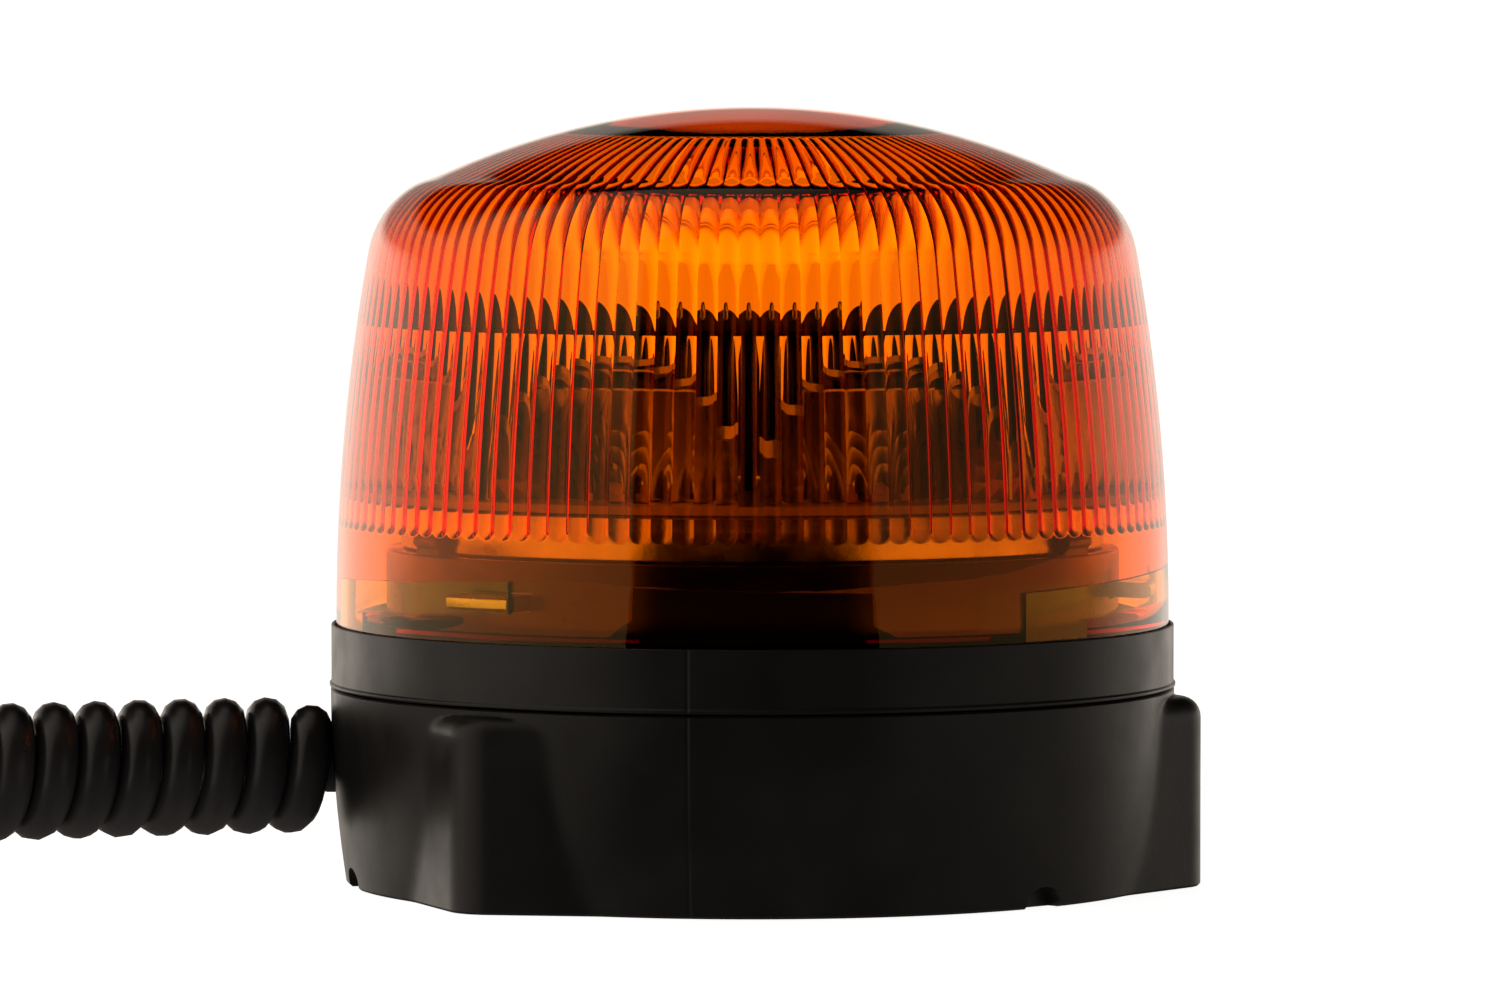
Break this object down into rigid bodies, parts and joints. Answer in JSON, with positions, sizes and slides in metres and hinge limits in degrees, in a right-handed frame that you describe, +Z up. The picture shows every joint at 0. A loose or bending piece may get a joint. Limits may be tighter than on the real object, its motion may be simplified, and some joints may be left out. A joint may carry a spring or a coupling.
{
  "type": "magnetic warning beacon",
  "caption": "Amber LED warning beacon: fluted twist-off dome on a black foot with magnets under its corner lobes, and a spiral lead ending in a vehicle socket plug.",
  "frame": {"origin": "on the lamp's vertical axis, in the plane of the magnet faces and the foot's centre pad", "axes": "+Z up through the crown of the hood; the lead leaves towards -X; -Y faces the viewer of the front"},
  "size_m": [0.4293, 0.1386, 0.1268],
  "materials": {
    "amber_lens": "clear amber polycarbonate, polished outside, fluted inside",
    "black_housing": "moulded black plastic, satin",
    "black_inner": "moulded black plastic, plain",
    "reflector_chrome": "vacuum-metallised plastic",
    "cast_aluminium": "as cast, lightly polished rim",
    "circuit_board": "white solder mask",
    "led_emitter": "silicone dome on a white package",
    "zinc_steel": "bright zinc plate",
    "ferrite": "ground sintered ferrite",
    "black_rubber": "moulded",
    "lead_jacket": "glossy extruded polyurethane",
    "nickel_brass": "nickel plate",
    "fuse_glass": "clear"
  },
  "bodies": {
    "lamp": {"bayonet_clip_1": "zinc_steel", "bayonet_clip_2": "zinc_steel", "bayonet_clip_3": "zinc_steel", "board_carrier": "black_inner", "capacitor": "black_inner", "choke": "ferrite", "clamp_screw_1": "zinc_steel", "clamp_screw_2": "zinc_steel", "column": "black_inner", "cord_clamp": "black_inner", "cord_gland": "black_rubber", "cord_spiral": "lead_jacket", "cord_tail": "lead_jacket", "disc_screw": "zinc_steel", "driver_board": "circuit_board", "foot_screw_1": "zinc_steel", "foot_screw_2": "zinc_steel", "foot_screw_3": "zinc_steel", "foot_seal": "black_rubber", "foot_shell": "black_housing", "heat_sink": "cast_aluminium", "hood_seal": "black_rubber", "inner_lead": "lead_jacket", "lamp_housing": "black_housing", "led_1": "led_emitter", "led_2": "led_emitter", "led_3": "led_emitter", "led_4": "led_emitter", "led_5": "led_emitter", "led_6": "led_emitter", "led_7": "led_emitter", "led_8": "led_emitter", "led_board": "circuit_board", "magnet_1": "ferrite", "magnet_2": "ferrite", "magnet_3": "ferrite", "magnet_cup_1": "zinc_steel", "magnet_cup_2": "zinc_steel", "magnet_cup_3": "zinc_steel", "plug_body": "black_housing", "plug_cap": "zinc_steel", "plug_fuse": "fuse_glass", "plug_relief": "black_rubber", "plug_spring": "zinc_steel", "reflector_1": "reflector_chrome", "reflector_2": "reflector_chrome", "reflector_3": "reflector_chrome", "reflector_4": "reflector_chrome", "reflector_5": "reflector_chrome", "reflector_6": "reflector_chrome", "reflector_7": "reflector_chrome", "reflector_8": "reflector_chrome", "regulator": "black_inner", "shade_disc": "black_inner", "terminal_block": "black_inner", "vent_plug": "black_rubber"},
    "hood": {"lens_hood": "amber_lens"},
    "plug_tip": {"plug_pin": "nickel_brass"},
    "contact_left": {"plug_contact_left": "zinc_steel"},
    "contact_right": {"plug_contact_right": "zinc_steel"}
  },
  "joints": [
    {"name": "hood_twist", "type": "hinge", "parent": "lamp", "child": "hood", "pos_m": [0, 0, 0.045], "axis": [0, 0, 1], "range_deg": [0, 33]},
    {"name": "tip_press", "type": "slide", "parent": "lamp", "child": "plug_tip", "axis": [-1, 0, 0], "range_m": [0, 0.0035], "stiffness_N_per_m": 900},
    {"name": "contact_left_press", "type": "slide", "parent": "lamp", "child": "contact_left", "axis": [0, -1, 0], "range_m": [0, 0.0015], "stiffness_N_per_m": 1200},
    {"name": "contact_right_press", "type": "slide", "parent": "lamp", "child": "contact_right", "axis": [0, 1, 0], "range_m": [0, 0.0015], "stiffness_N_per_m": 1200}
  ]
}
